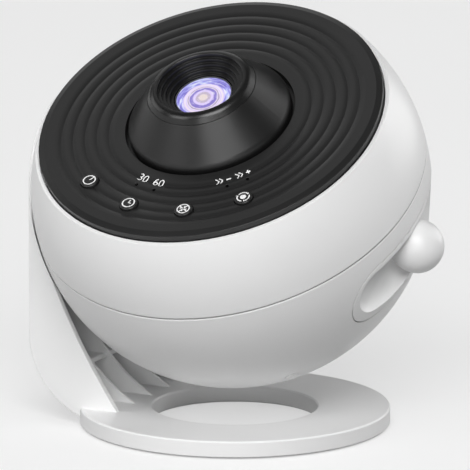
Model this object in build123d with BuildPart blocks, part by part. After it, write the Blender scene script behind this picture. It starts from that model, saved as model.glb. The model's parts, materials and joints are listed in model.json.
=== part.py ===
from build123d import *
from math import acos, asin, atan2, cos, degrees, pi, radians, sin, sqrt, tan
import os

# Ball-shaped star projector on a one-sided stand.
# +X runs along the tilt axis, from the stand's arm to the disc tray; +Y is the back; +Z is up.
# The origin is the middle of the ring foot, on the table. Everything is in millimetres.
# Heights inside the head are measured along the projection axis, from the ball's centre.

os.makedirs("parts", exist_ok=True)

# ------------------------------------------------------------------ driving dimensions

# Clearances
fit_gap = 0.05  # round running fits, on the radius
slip_gap = 0.3  # faces that slide past each other without touching
loose_gap = 0.5  # pieces of different bodies that only pass each other

# Ball
ball_radius = 70.0
shell_wall = 2.4
pivot_height = 84.2  # tilt axis above the table
ball_shift = -1.3  # ball centre along X, from the middle of the ring foot
rest_tilt = 30.4  # projection axis at rest, forward from upright, in degrees
seam_height = 1.7
seam_groove = 0.35
rim_height = 30.2
rim_wall = 1.35  # flat top of the white rim
ledge_drop = 2.0  # ledge below the rim
ledge_width = 4.3
ledge_thickness = 2.5

# Stand: ring foot
foot_outer_radius = 54.4
foot_inner_radius = 28.9
foot_top = 6.4
foot_edge = 0.5
pad_proud = 0.4
pad_radius = 5.5
pad_depth = 1.2

# Stand: arm
arm_half_width = 28.8
arm_wall = 2.2
arm_overhang = 1.0  # crown of the arm outside the ball's radius
arm_bend = 31.0  # outer radius of the quarter bend
arm_ball_gap = 0.9
arm_head_gap = 0.4
flat_margin = 0.8  # how far the ball's flat reaches round the arm's head
toe_margin = 2.9  # arm's toe behind the edge of the ring's hole
throat_height = 52.0  # where the side walls meet the ball
side_sag = 1.4
rib_thickness = 1.2
rib_pitch = 13.7
rib_meet_height = 50.0
rib_meet_gap = 0.3
rib_sag = 6.2
rib_setback = 0.5
shelf_heights = (18.5, 40.0)
shelf_setback = 2.2

# Tilt joint
hub_radius = 11.0
boss_radius = 7.0
pivot_hole_gap = 1.2
socket_depth = 7.6  # from the shell's flat to the friction washer
socket_radius = 10.5
socket_flange_radius = 14.0
socket_flange_thickness = 2.5
friction_washer_thickness = 0.8
pivot_washer_radius = 10.2
pivot_washer_thickness = 1.2
pivot_screw_radius = 2.0
pivot_screw_length = 10.0
pivot_screw_head_radius = 4.0
pivot_screw_head_height = 2.6
pivot_screw_slot = 1.0
pivot_screw_slot_length = 5.2

# Ball screws
screw_inset = 17.2  # screws inside the ball's radius
screw_angle = 54.7  # from the tilt axis
post_radius = 5.0
upper_post_radius = 3.6
upper_post_top = 20.0
screw_radius = 1.5
screw_head_radius = 2.5
screw_head_height = 2.4
screw_floor = 4.0  # plastic between a screw's head and the chassis
screw_length = 22.0
well_gap = 0.1
plug_length = 4.0
plug_dome = 0.35
web_thickness = 1.6
web_bottom = 4.5
tongue_wall = 1.1
tongue_reach = 3.0
tongue_root = 2.5

# Top panel
panel_rise = 2.9  # panel's face above the white rim
rim_gap = 0.4  # between the panel and the rim
panel_inner_radius = 30.3
panel_thickness = 2.1
panel_bevel_width = 2.2
panel_bevel_height = 0.7
panel_skirt = 1.8
groove_count = 5
groove_start = 5.9  # first groove beyond the panel's inner edge
groove_margin = 8.0  # last groove inside the panel's outer edge
groove_depth = 0.4

# Buttons and indicators
button_offset = 0.35  # buttons outside the middle of the band between the lights and the ledge
button_spread = 75.4  # angle from the first button to the last
button_names = ("power", "timer", "light", "speed")
button_radius = 3.25
button_rise = 0.9
button_edge = 0.4
button_hole_gap = 0.2
button_flange = 0.85
button_flange_thickness = 0.8
button_flange_drop = 0.2  # flange below the panel's underside at rest
indicator_gap = 4.0  # indicators outside the retainer
indicator_angles = (-18.1, -6.9, 32.4, 43.3)  # from the front, towards +X
indicator_radius = 0.6
indicator_sink = 0.1
board_thickness = 1.2
button_board_drop = 4.2  # board's upper face below the panel's underside
button_board_inset = 12.7  # board's inner edge inside the buttons' circle
button_board_cut = 22.7  # board's straight edge inside the same circle
switch_size = 5.0
switch_height = 1.8
switch_plunger_height = 0.7
switch_plunger_radius = 1.3
board_post_radius = 1.6
board_post_inset = 4.5  # posts inside the ledge
board_post_spread = 100.0

# Focus ring (the dome)
dome_radius = 29.0
dome_wall = 2.0
dome_shoulder = 4.2
dome_lip = 3.2
dome_lip_radius = 15.6
dome_top = 49.0
bezel_radius = 19.3
bezel_seat = 1.5
bezel_spigot = 17.0
mouth_edge = 0.4
mouth_steps = 4
mouth_floor = 43.3
dome_collar = 42.6
dome_flange = 2.6
dome_flange_thickness = 1.5
retainer_outer = 35.2
retainer_thickness = 1.6
retainer_width = 8.2
retainer_post_radius = 1.4

# Projection lens, its barrel and the cam that moves it
lens_radius = 9.7
lens_edge = 4.4
lens_front_sag = 1.5
lens_back_sag = 0.8
lens_front_edge = 42.6
barrel_wall = 1.1
barrel_lip = 0.3  # barrel's mouth beyond the edge of the lens
nose_wall = 0.45
barrel_bottom = 6.0
rear_lens_edge = 2.4
rear_lens_sag = 1.4
barrel_seat = 1.2
guide_wall = 1.75
guide_top = 30.0
guide_flange_radius = 18.0
guide_flange_thickness = 2.0
focus_travel = 1.5  # lens's way either side of rest
focus_swing = 60.0  # ring's turn either side of rest, in degrees
cam_wall = 2.1
cam_bottom = 14.0
cam_flange_thickness = 1.4
cam_pin_radius = 1.2
cam_pin_height = 20.0
cam_slot_gap = 0.6  # slot wider than the pin
cam_slot_extra = 14.0  # slot longer than the ring's turn, in degrees

# Disc tray
knob_radius = 9.5
knob_height = -18.4
knob_neck_radius = 4.0
front_width = 70.4
front_height = 23.6
front_depth = 16.0  # back of the tray front inside the ball's radius
front_gap = 0.35
scoop_width = 68.6
scoop_height = 19.8
scoop_depth = 12.5
scoop_fillet = 6.0
tray_floor = -24.0
tray_thickness = 3.0
tray_half_width = 30.0
tray_rear = -24.2
tray_end_gap = 1.4  # arms short of the chassis's end wall
tray_arm_width = 6.0
tray_flange_half_width = 26.0
tray_flange_top = -12.5
tray_flange_thickness = 2.5

# Star disc and its gears
gear_module = 1.0
carrier_teeth = 44
pinion_teeth = 12
pressure_angle = 20.0
tooth_addendum = 0.75
tooth_dedendum = 1.1
tooth_backlash = 0.12  # taken off each flank
aperture_radius = 13.5
collar_wall = 2.0
carrier_height = 3.0
carrier_gap = 0.1
collar_height = 2.8
disc_radius = 17.5
disc_thickness = 0.9
disc_rim_wall = 2.4
disc_rim_height = 1.3
pinion_height = 2.4
pinion_hub_radius = 3.0
shaft_radius = 1.5
motor_radius = 9.0
motor_length = 13.4
motor_flange_thickness = 0.6
motor_flange_length = 27.0
motor_flange_width = 7.0

# Chassis that carries the tray and the optics
chassis_setback = 4.0  # chassis's open end behind the tray front
chassis_wall = 2.6
chassis_top_wall = 2.5
chassis_headroom = 12.0  # from the tray's floor to the underside of the top plate
lug_radius = 6.5
main_board_u = 62.0
main_board_v = 56.0
main_board_gap = 5.5
spacer_radius = 2.2
spacer_inset = 5.0

# Lamp
lamp_tube_radius = 17.5
lamp_tube_wall = 2.0
lamp_tube_length = 19.5
lamp_ear_span = 56.0
lamp_ear_width = 11.0
lamp_ear_thickness = 2.0
led_size = 5.0
led_height = 1.0
condenser_sag = 5.5
condenser_drop = 9.0  # condenser's flat face below the tube's upper end
condenser_edge = 1.5
sink_radius = 20.0
sink_base = 3.0
sink_depth = 14.0
fin_count = 9
fin_thickness = 1.4
sink_shell_gap = 2.5

# Power inlet
inlet_height = -13.0
inlet_width = 9.0
inlet_thickness = 3.2
inlet_length = 7.5
inlet_wall = 0.35
inlet_recess = 1.6
inlet_recess_width = 15.0
inlet_recess_height = 8.0
inlet_cradle = 1.6
inlet_tongue_width = 6.7
inlet_tongue_thickness = 0.7
inlet_tongue_sink = 0.6

# ------------------------------------------------------------------ planes and axes

ball_centre = Vector(ball_shift, 0, pivot_height)
tilt = radians(rest_tilt)
head = Plane(ball_centre, x_dir=(1, 0, 0), z_dir=(0, -sin(tilt), cos(tilt)))
head_axis = Axis(head.origin, head.z_dir)
head_section = Plane(head.origin, x_dir=head.x_dir, z_dir=-head.y_dir)  # radius, height
head_side = Plane(head.origin, x_dir=head.y_dir, z_dir=head.x_dir)  # seen from the knob
head_rear = Plane(head.origin, x_dir=-head.x_dir, z_dir=head.y_dir)  # seen from the back
stand_section = Plane((ball_shift, 0, 0), x_dir=(-1, 0, 0), z_dir=(0, 1, 0))
stand_front = Plane((ball_shift, 0, 0), x_dir=(0, 1, 0), z_dir=(1, 0, 0))
stand_axis = Axis((ball_shift, 0, 0), (0, 0, 1))

arm_radius = ball_radius + arm_overhang
flat_offset = sqrt(ball_radius**2 - (arm_half_width + flat_margin) ** 2)
boss_end = flat_offset - shell_wall - socket_depth - friction_washer_thickness
screw_circle = ball_radius - screw_inset
screw_pitch_u = 2 * screw_circle * cos(radians(screw_angle))
screw_pitch_v = 2 * screw_circle * sin(radians(screw_angle))
rim_radius = sqrt(ball_radius**2 - rim_height**2) - rim_wall  # opening in the white rim
ledge_height = rim_height - ledge_drop
ledge_radius = rim_radius - ledge_width
front_inner = ball_radius - front_depth
scoop_floor = ball_radius - scoop_depth
chassis_half_length = front_inner - chassis_setback
panel_radius = rim_radius - rim_gap
panel_top = rim_height + panel_rise
panel_underside = panel_top - panel_thickness
button_flange_bottom = panel_underside - button_flange_drop - button_flange_thickness


# ------------------------------------------------------------------ shared sketches and solids


def ring_on(plane, outer, inner=0.0):
    """A disc, or a flat ring, on a plane."""
    with BuildSketch(plane) as ring:
        Circle(outer)
        if inner > 0:
            Circle(inner, mode=Mode.SUBTRACT)
    return ring.sketch


def truncated_ball(radius, flat):
    """A ball about the head's centre, cut off flat on the arm's side."""
    with BuildPart() as ball:
        with BuildSketch(head_section):
            with BuildLine():
                arc = ThreePointArc((0, -radius), (radius, 0), (0, radius))
                Line(arc @ 1, arc @ 0)
            make_face()
        revolve(axis=head_axis)
        split(bisect_by=head_side.offset(-flat), keep=Keep.TOP)
    return ball.part


def crown(inset, floor):
    """The arm's rounded outside, as a solid of revolution, drawn in by an inset."""
    radius = arm_radius - inset
    bend = arm_bend - inset
    with BuildPart() as body:
        with BuildSketch(stand_section):
            with BuildLine():
                start = Line((0, floor), (radius - bend, floor))
                turn = JernArc(start @ 1, (1, 0), bend, 90)
                rise = Line(turn @ 1, (radius, pivot_height))
                cap = JernArc(rise @ 1, (0, 1), radius, 90)
                Line(cap @ 1, start @ 0)
            make_face()
        revolve(axis=stand_axis)
    return body.part


ball_blank = truncated_ball(ball_radius, flat_offset)
cavity = truncated_ball(ball_radius - shell_wall, flat_offset - shell_wall)
shell_middle = truncated_ball(ball_radius - shell_wall / 2, flat_offset - shell_wall / 2)

# ------------------------------------------------------------------ stand

arm_toe = foot_inner_radius + toe_margin + ball_shift
room_radius = ball_radius + arm_ball_gap
throat = sqrt(room_radius**2 - arm_half_width**2 - (pivot_height - throat_height) ** 2)
rib_meet = sqrt(room_radius**2 - (pivot_height - rib_meet_height) ** 2) + rib_meet_gap
pad_circle = (foot_outer_radius + foot_inner_radius) / 2


def arm_outline(inset, floor):
    """The arm seen along the tilt axis: straight sides under a round head."""
    width = 2 * (arm_half_width - inset)
    with BuildSketch(stand_front) as outline:
        with Locations((0, floor)):
            Rectangle(width, pivot_height - floor, align=(Align.CENTER, Align.MIN))
        with Locations((0, pivot_height)):
            Circle(width / 2)
    return outline.sketch


def rib_outline(offset, setback):
    """One rib seen from the front, concave towards the ball."""
    with BuildSketch(stand_section.offset(offset)) as outline:
        with BuildLine():
            start = (arm_toe + rib_setback + setback, foot_top)
            edge = SagittaArc(start, (rib_meet + setback, rib_meet_height), -rib_sag)
            Polyline(
                edge @ 1,
                (rib_meet + setback, pivot_height),
                (arm_radius, pivot_height),
                (arm_radius, foot_top - foot_edge),
                (arm_toe + rib_setback + setback, foot_top - foot_edge),
                edge @ 0,
            )
        make_face()
    return outline.sketch


# Room for the ball, which keeps the plate that fills its flat
with BuildPart() as ball_room:
    with Locations(ball_centre):
        Sphere(room_radius)
    split(bisect_by=head_side.offset(-flat_offset - arm_head_gap), keep=Keep.TOP)

# The hollow between the arm's side walls, open towards the ball
with BuildPart() as arm_channel:
    add(crown(arm_wall, pad_proud + arm_wall))
    extrude(arm_outline(arm_wall, foot_top), amount=-arm_radius, mode=Mode.INTERSECT)

# Ribs along the arm, and shelves across it
with BuildPart() as shelf_slabs:
    for height in shelf_heights:
        with BuildSketch(Plane.XY.offset(height)):
            Rectangle(4 * arm_radius, 2 * arm_radius)
        extrude(amount=rib_thickness)

with BuildPart() as arm_shelves:
    span = 2 * arm_half_width - arm_wall
    extrude(rib_outline(-span / 2, shelf_setback), amount=span)
    add(shelf_slabs.part, mode=Mode.INTERSECT)

with BuildPart() as arm_ribs:
    for place in (-rib_pitch, 0, rib_pitch):
        extrude(rib_outline(place - rib_thickness / 2, 0), amount=rib_thickness)
    add(arm_shelves.part)
    with BuildSketch(head_side.offset(-arm_radius)):
        Circle(hub_radius)
    extrude(amount=arm_radius - flat_offset)
    add(crown(arm_wall / 2, pad_proud + arm_wall / 2), mode=Mode.INTERSECT)

with BuildPart() as stand:
    add(crown(0, pad_proud))
    extrude(arm_outline(0, pad_proud), amount=-arm_radius - arm_overhang, mode=Mode.INTERSECT)
    with BuildSketch(stand_section):
        with BuildLine():
            side = SagittaArc((arm_toe, foot_top), (throat, throat_height), -side_sag)
            Polyline(
                side @ 1,
                (throat, 2 * pivot_height),
                (2 * arm_radius, 2 * pivot_height),
                (2 * arm_radius, 0),
                (arm_toe, 0),
                side @ 0,
            )
        make_face()
    extrude(amount=arm_half_width, both=True, mode=Mode.INTERSECT)
    add(arm_channel.part, mode=Mode.SUBTRACT)
    add(arm_ribs.part)
    add(ball_room.part, mode=Mode.SUBTRACT)
    # boss that carries the ball
    with BuildSketch(head_side.offset(-flat_offset - arm_head_gap - rib_thickness)):
        Circle(boss_radius)
    extrude(amount=flat_offset + arm_head_gap + rib_thickness - boss_end)
    with BuildSketch(head_side.offset(-boss_end)):
        Circle(pivot_screw_radius + fit_gap)
    extrude(amount=-pivot_screw_length, mode=Mode.SUBTRACT)
    # ring foot
    with BuildSketch(Plane.XZ) as foot_profile:
        with Locations((foot_inner_radius, pad_proud)):
            Rectangle(
                foot_outer_radius - foot_inner_radius,
                foot_top - pad_proud,
                align=(Align.MIN, Align.MIN),
            )
        chamfer(foot_profile.vertices(), foot_edge)
    revolve(axis=Axis.Z)
    with BuildSketch(Plane.XY.offset(pad_proud)):
        with PolarLocations(pad_circle, 4, start_angle=45):
            Circle(pad_radius + fit_gap)
    extrude(amount=pad_depth, mode=Mode.SUBTRACT)
stand.part.label = "stand"
export_step(stand.part, "parts/stand.step")

with BuildPart() as foot_pads:
    with BuildSketch():
        with PolarLocations(pad_circle, 4, start_angle=45):
            Circle(pad_radius)
    extrude(amount=pad_proud + pad_depth)
foot_pads.part.label = "foot_pads"
export_step(foot_pads.part, "parts/foot_pads.step")

# ------------------------------------------------------------------ ball

chassis_floor = tray_floor - slip_gap
chassis_bottom = chassis_floor - chassis_top_wall
chassis_ceiling = chassis_floor + chassis_headroom + slip_gap
chassis_top = chassis_ceiling + chassis_top_wall
screw_seat = chassis_ceiling - screw_floor
inlet_face = sqrt(ball_radius**2 - inlet_height**2) - inlet_recess
pivot_hole_radius = boss_radius + pivot_hole_gap
tongue_radius = ball_radius - shell_wall - slip_gap
ledge_outer = sqrt((ball_radius - shell_wall / 2) ** 2 - ledge_height**2)


def at_ball_screws(radius, bottom, top):
    """Four upright cylinders where the screws hold the ball together."""
    with BuildPart() as pins:
        with BuildSketch(head.offset(bottom)):
            with GridLocations(screw_pitch_u, screw_pitch_v, 2, 2):
                Circle(radius)
        extrude(amount=top - bottom)
    return pins.part


def tray_stadium(width, height, reach):
    """The tray front's outline, on a plane square to the tray's travel."""
    with BuildSketch(head_side.offset(reach)) as outline:
        with Locations((0, knob_height)):
            SlotOverall(width, height)
    return outline.sketch


def inlet_outline(width, height, reach):
    """A stadium round the power inlet, on a plane square to the ball's back."""
    with BuildSketch(head_rear.offset(reach)) as outline:
        with Locations((0, inlet_height)):
            SlotOverall(width, height)
    return outline.sketch


# Hollow ball with everything that both shells share
with BuildPart() as whole_ball:
    add(ball_blank)
    add(cavity, mode=Mode.SUBTRACT)
    pivot_hole = ring_on(head_side.offset(-ball_radius), pivot_hole_radius)
    extrude(pivot_hole, amount=ball_radius / 2, mode=Mode.SUBTRACT)
    with BuildSketch(head_section):
        with Locations((ball_radius, seam_height)):
            Rectangle(2 * seam_groove, 2 * seam_groove, rotation=45)
    revolve(axis=head_axis, mode=Mode.SUBTRACT)

with BuildPart() as lower_posts:
    add(at_ball_screws(post_radius, -ball_radius, chassis_ceiling))
    extrude(
        inlet_outline(
            inlet_recess_width + 2 * inlet_cradle,
            inlet_recess_height + 2 * inlet_cradle,
            inlet_face - inlet_length,
        ),
        amount=ball_radius,
    )
    add(shell_middle, mode=Mode.INTERSECT)

with BuildPart() as lower_shell:
    add(whole_ball.part)
    split(bisect_by=head.offset(seam_height), keep=Keep.BOTTOM)
    add(lower_posts.part)
    add(at_ball_screws(screw_head_radius + well_gap, -ball_radius, screw_seat), mode=Mode.SUBTRACT)
    add(at_ball_screws(screw_radius + fit_gap, screw_seat, chassis_ceiling), mode=Mode.SUBTRACT)
    window = tray_stadium(front_width + 2 * front_gap, front_height + 2 * front_gap, front_inner - loose_gap)
    extrude(window, amount=ball_radius, mode=Mode.SUBTRACT)
    extrude(
        inlet_outline(inlet_recess_width, inlet_recess_height, inlet_face),
        amount=ball_radius,
        mode=Mode.SUBTRACT,
    )
    extrude(
        inlet_outline(inlet_width, inlet_thickness, inlet_face),
        amount=-2 * inlet_length,
        mode=Mode.SUBTRACT,
    )
lower_shell.part.label = "lower_shell"
export_step(lower_shell.part, "parts/lower_shell.step")

with BuildPart() as upper_posts:
    add(at_ball_screws(upper_post_radius, chassis_top, upper_post_top))
    with BuildSketch(head.offset(web_bottom)):
        for side in (-1, 1):
            for end in (-1, 1):
                u, v = side * screw_pitch_u / 2, end * screw_pitch_v / 2
                with Locations((u, v)):
                    Rectangle(
                        ball_radius,
                        web_thickness,
                        rotation=degrees(atan2(v, u)),
                        align=(Align.MIN, Align.CENTER),
                    )
    extrude(amount=upper_post_top - web_bottom)
    add(shell_middle, mode=Mode.INTERSECT)

# Tongue that locates the upper shell in the lower one, left out along the flat
with BuildPart() as seam_tongue:
    extrude(
        ring_on(head.offset(seam_height - tongue_reach), tongue_radius, tongue_radius - tongue_wall),
        amount=tongue_reach + tongue_root,
    )
    extrude(
        ring_on(head.offset(seam_height), ball_radius - shell_wall / 2, tongue_radius - tongue_wall),
        amount=tongue_root,
    )
    split(bisect_by=head_side.offset(-flat_offset + shell_wall + slip_gap), keep=Keep.TOP)

with BuildPart() as upper_shell:
    add(whole_ball.part)
    split(bisect_by=head.offset(seam_height), keep=Keep.TOP)
    split(bisect_by=head.offset(rim_height), keep=Keep.BOTTOM)
    add(seam_tongue.part)
    add(upper_posts.part)
    extrude(
        ring_on(head.offset(ledge_height - ledge_thickness), ledge_outer, ledge_radius),
        amount=ledge_thickness,
    )
    extrude(ring_on(head.offset(ledge_height), rim_radius), amount=ball_radius, mode=Mode.SUBTRACT)
    add(at_ball_screws(screw_radius + fit_gap, chassis_top, screw_seat + screw_length), mode=Mode.SUBTRACT)
upper_shell.part.label = "upper_shell"
export_step(upper_shell.part, "parts/upper_shell.step")

with BuildPart() as shell_screws:
    add(at_ball_screws(screw_head_radius, screw_seat - screw_head_height, screw_seat))
    add(at_ball_screws(screw_radius, screw_seat, screw_seat + screw_length))
shell_screws.part.label = "shell_screws"
export_step(shell_screws.part, "parts/shell_screws.step")

with BuildPart() as plug_core:
    with Locations(ball_centre):
        Sphere(ball_radius + plug_dome)
        Sphere(ball_radius - plug_length, mode=Mode.SUBTRACT)

with BuildPart() as screw_plugs:
    add(at_ball_screws(screw_head_radius, -ball_radius, screw_seat))
    add(plug_core.part, mode=Mode.INTERSECT)
screw_plugs.part.label = "screw_plugs"
export_step(screw_plugs.part, "parts/screw_plugs.step")

# ------------------------------------------------------------------ tilt joint

socket_face = flat_offset - shell_wall
socket_end = boss_end + friction_washer_thickness

with BuildPart() as pivot_socket:
    extrude(ring_on(head_side.offset(-socket_face), socket_flange_radius), amount=socket_flange_thickness)
    extrude(ring_on(head_side.offset(-socket_face), socket_radius), amount=socket_face - socket_end)
    extrude(
        ring_on(head_side.offset(-socket_face), boss_radius + fit_gap),
        amount=socket_face - socket_end,
        mode=Mode.SUBTRACT,
    )
pivot_socket.part.label = "pivot_socket"
export_step(pivot_socket.part, "parts/pivot_socket.step")

with BuildPart() as friction_washer:
    extrude(
        ring_on(head_side.offset(-socket_end), pivot_washer_radius, boss_radius + slip_gap),
        amount=friction_washer_thickness,
    )
friction_washer.part.label = "friction_washer"
export_step(friction_washer.part, "parts/friction_washer.step")

with BuildPart() as pivot_washer:
    extrude(
        ring_on(head_side.offset(-boss_end), pivot_washer_radius, pivot_screw_radius + fit_gap),
        amount=pivot_washer_thickness,
    )
pivot_washer.part.label = "pivot_washer"
export_step(pivot_washer.part, "parts/pivot_washer.step")

with BuildPart() as pivot_screw:
    head_start = -boss_end + pivot_washer_thickness
    extrude(ring_on(head_side.offset(head_start), pivot_screw_head_radius), amount=pivot_screw_head_height)
    extrude(ring_on(head_side.offset(head_start), pivot_screw_radius), amount=-pivot_screw_length)
    with BuildSketch(head_side.offset(head_start + pivot_screw_head_height)):
        Rectangle(pivot_screw_slot_length, pivot_screw_slot)
        Rectangle(pivot_screw_slot, pivot_screw_slot_length)
    extrude(amount=-pivot_screw_head_height / 2, mode=Mode.SUBTRACT)
pivot_screw.part.label = "pivot_screw"
export_step(pivot_screw.part, "parts/pivot_screw.step")

# ------------------------------------------------------------------ top panel, buttons and lights

groove_pitch = (panel_radius - groove_margin - panel_inner_radius - groove_start) / (groove_count - 1)
ripple_radius = (groove_pitch**2 / 4 + groove_depth**2) / (2 * groove_depth)
ripple_angle = degrees(asin(groove_pitch / 2 / ripple_radius))
indicator_circle = retainer_outer + indicator_gap
button_circle = (ledge_radius + indicator_circle) / 2 + button_offset
board_post_circle = ledge_radius - board_post_inset
button_angles = [-90 + button_spread * (i / (len(button_names) - 1) - 0.5) for i in range(len(button_names))]
board_top = panel_underside - button_board_drop
indicator_places = [
    (indicator_circle * sin(radians(a)), -indicator_circle * cos(radians(a))) for a in indicator_angles
]


def at_buttons(height, shape):
    """The same shape at every button, at a height inside the head."""
    with BuildSketch(head.offset(height)) as outline:
        for angle in button_angles:
            with PolarLocations(button_circle, 1, start_angle=angle):
                shape()
    return outline.sketch


def at_indicators(height, radius):
    """A small disc at every indicator."""
    with BuildSketch(head.offset(height)) as outline:
        with Locations(indicator_places):
            Circle(radius)
    return outline.sketch


def board_posts_on(height, radius):
    """A small disc at every post of the button board."""
    with BuildSketch(head.offset(height)) as outline:
        with PolarLocations(
            board_post_circle,
            3,
            start_angle=-90 - board_post_spread / 2,
            angular_range=board_post_spread,
            endpoint=True,
        ):
            Circle(radius)
    return outline.sketch


with BuildPart() as top_panel:
    with BuildSketch(head_section):
        with BuildLine():
            # flat band, ripples with sharp grooves between them, flat band
            first_groove = panel_inner_radius + groove_start
            band = Line((panel_inner_radius, panel_top), (first_groove - groove_pitch / 2, panel_top))
            groove = JernArc(band @ 1, (1, 0), ripple_radius, -ripple_angle) @ 1
            for i in range(groove_count - 1):
                crest = (groove.X + groove_pitch / 2, panel_top)
                groove = ThreePointArc(groove, crest, groove + Vector(groove_pitch, 0)) @ 1
            last_rise = Vector(1, 0).rotate(Axis.Z, ripple_angle)
            ripple_end = JernArc(groove, last_rise, ripple_radius, -ripple_angle) @ 1
            Polyline(
                ripple_end,
                (panel_radius - panel_bevel_width, panel_top),
                (panel_radius, panel_top - panel_bevel_height),
                (panel_radius, ledge_height),
                (panel_radius - panel_skirt, ledge_height),
                (panel_radius - panel_skirt, panel_underside),
                (panel_inner_radius, panel_underside),
                band @ 0,
            )
        make_face()
    revolve(axis=head_axis)
    extrude(board_posts_on(board_top, board_post_radius), amount=button_board_drop)
    extrude(
        at_buttons(panel_underside, lambda: Circle(button_radius + button_hole_gap)),
        amount=panel_thickness,
        mode=Mode.SUBTRACT,
    )
    extrude(
        at_indicators(panel_underside, indicator_radius + fit_gap),
        amount=panel_thickness,
        mode=Mode.SUBTRACT,
    )
top_panel.part.label = "top_panel"
export_step(top_panel.part, "parts/top_panel.step")

for button_name, angle in zip(button_names, button_angles):
    with BuildPart() as button:
        with BuildSketch(head.offset(button_flange_bottom)):
            with PolarLocations(button_circle, 1, start_angle=angle):
                Circle(button_radius + button_flange)
        extrude(amount=button_flange_thickness)
        with BuildSketch(head.offset(button_flange_bottom)):
            with PolarLocations(button_circle, 1, start_angle=angle):
                Circle(button_radius)
        extrude(amount=panel_top + button_rise - button_flange_bottom)
        fillet(button.edges().sort_by(head_axis)[-1], button_edge)
    button.part.label = button_name + "_button"
    export_step(button.part, "parts/" + button_name + "_button.step")

with BuildPart() as indicator_lights:
    extrude(at_indicators(board_top, indicator_radius), amount=panel_top - board_top - indicator_sink)
indicator_lights.part.label = "indicator_lights"
export_step(indicator_lights.part, "parts/indicator_lights.step")

with BuildPart() as tact_switches:
    extrude(at_buttons(board_top, lambda: Rectangle(switch_size, switch_size)), amount=switch_height)
    extrude(
        at_buttons(board_top, lambda: Circle(switch_plunger_radius)),
        amount=switch_height + switch_plunger_height,
    )
tact_switches.part.label = "tact_switches"
export_step(tact_switches.part, "parts/tact_switches.step")

with BuildPart() as button_board:
    with BuildSketch(head.offset(board_top)):
        Circle(ledge_radius - 2 * loose_gap)
        Circle(button_circle - button_board_inset, mode=Mode.SUBTRACT)
        with Locations((0, button_board_cut - button_circle)):
            Rectangle(2 * ball_radius, ball_radius, align=(Align.CENTER, Align.MAX), mode=Mode.INTERSECT)
    extrude(amount=-board_thickness)
button_board.part.label = "button_board"
export_step(button_board.part, "parts/button_board.step")

# ------------------------------------------------------------------ focus ring

flange_top = panel_underside - slip_gap
flange_bottom = flange_top - dome_flange_thickness
lip_height = dome_top - dome_lip
centre_gap = Vector(dome_lip_radius - dome_radius + dome_shoulder, lip_height - panel_top)
flank_angle = atan2(centre_gap.Y, centre_gap.X) - acos((dome_shoulder - dome_lip) / centre_gap.length)
flank_normal = Vector(cos(flank_angle), sin(flank_angle))
flank_run = Vector(-flank_normal.Y, flank_normal.X)
shoulder_centre = Vector(dome_radius - dome_shoulder, panel_top)
lip_centre = Vector(dome_lip_radius, lip_height)


def flank_height(radius, inset):
    """Height of the dome's straight flank at a radius, drawn in by an inset."""
    foot = shoulder_centre + flank_normal * (dome_shoulder - inset)
    return foot.Y + flank_run.Y * (radius - foot.X) / flank_run.X


seam_top = flank_height(bezel_radius, 0)
bezel_floor = seam_top - bezel_seat

with BuildPart() as focus_ring:
    with BuildSketch(head_section):
        with BuildLine():
            neck = Polyline(
                (dome_radius - dome_wall, flange_bottom),
                (dome_radius + dome_flange, flange_bottom),
                (dome_radius + dome_flange, flange_top),
                (dome_radius, flange_top),
                (dome_radius, panel_top),
            )
            shoulder = JernArc(neck @ 1, (0, 1), dome_shoulder, degrees(flank_angle))
            inner_wall = bezel_spigot + dome_wall
            inside = Polyline(
                shoulder @ 1,
                (bezel_radius, seam_top),
                (bezel_radius, bezel_floor),
                (bezel_spigot, bezel_floor),
                (bezel_spigot, dome_collar),
                (inner_wall, dome_collar),
                (inner_wall, flank_height(inner_wall, dome_wall)),
                shoulder_centre + flank_normal * (dome_shoulder - dome_wall),
            )
            turn = JernArc(inside @ 1, -flank_run, dome_shoulder - dome_wall, -degrees(flank_angle))
            Line(turn @ 1, neck @ 0)
        make_face()
    revolve(axis=head_axis)
focus_ring.part.label = "focus_ring"
export_step(focus_ring.part, "parts/focus_ring.step")

barrel_bore = lens_radius + fit_gap
barrel_radius = barrel_bore + barrel_wall
nose_radius = barrel_bore + nose_wall
mouth_bore = nose_radius + slip_gap

# Stepped mouth round the lens, seated in the top of the focus ring
with BuildPart() as lens_bezel:
    with BuildSketch(head_section):
        with BuildLine():
            flank = Line((bezel_radius - fit_gap, bezel_floor), (bezel_radius - fit_gap, seam_top))
            lip_start = lip_centre + flank_normal * dome_lip
            Line(flank @ 1, lip_start)
            lip = JernArc(lip_start, flank_run, dome_lip, 90 - degrees(flank_angle))
            mouth = JernArc(lip @ 1, (-1, 0), mouth_edge, 90) @ 1
            tread = (mouth.X - mouth_bore) / mouth_steps
            riser = (mouth.Y - mouth_floor) / mouth_steps
            steps = [(mouth.X, mouth.Y)]
            for i in range(mouth_steps):
                steps.append((mouth.X - i * tread, mouth.Y - (i + 1) * riser))
                steps.append((mouth.X - (i + 1) * tread, mouth.Y - (i + 1) * riser))
            stairs = Polyline(*steps)
            Polyline(
                stairs @ 1,
                ((stairs @ 1).X, dome_collar),
                (bezel_spigot - fit_gap, dome_collar),
                (bezel_spigot - fit_gap, bezel_floor),
                flank @ 0,
            )
        make_face()
    revolve(axis=head_axis)
lens_bezel.part.label = "lens_bezel"
export_step(lens_bezel.part, "parts/lens_bezel.step")

with BuildPart() as retainer_ring:
    extrude(
        ring_on(head.offset(flange_bottom - slip_gap), retainer_outer, retainer_outer - retainer_width),
        amount=-retainer_thickness,
    )
    with BuildSketch(head.offset(flange_bottom - slip_gap)):
        with PolarLocations(retainer_outer - retainer_post_radius - slip_gap, 4):
            Circle(retainer_post_radius)
    extrude(amount=panel_underside - flange_bottom + slip_gap)
retainer_ring.part.label = "retainer_ring"
export_step(retainer_ring.part, "parts/retainer_ring.step")

# ------------------------------------------------------------------ lenses, barrel and focus cam

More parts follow.
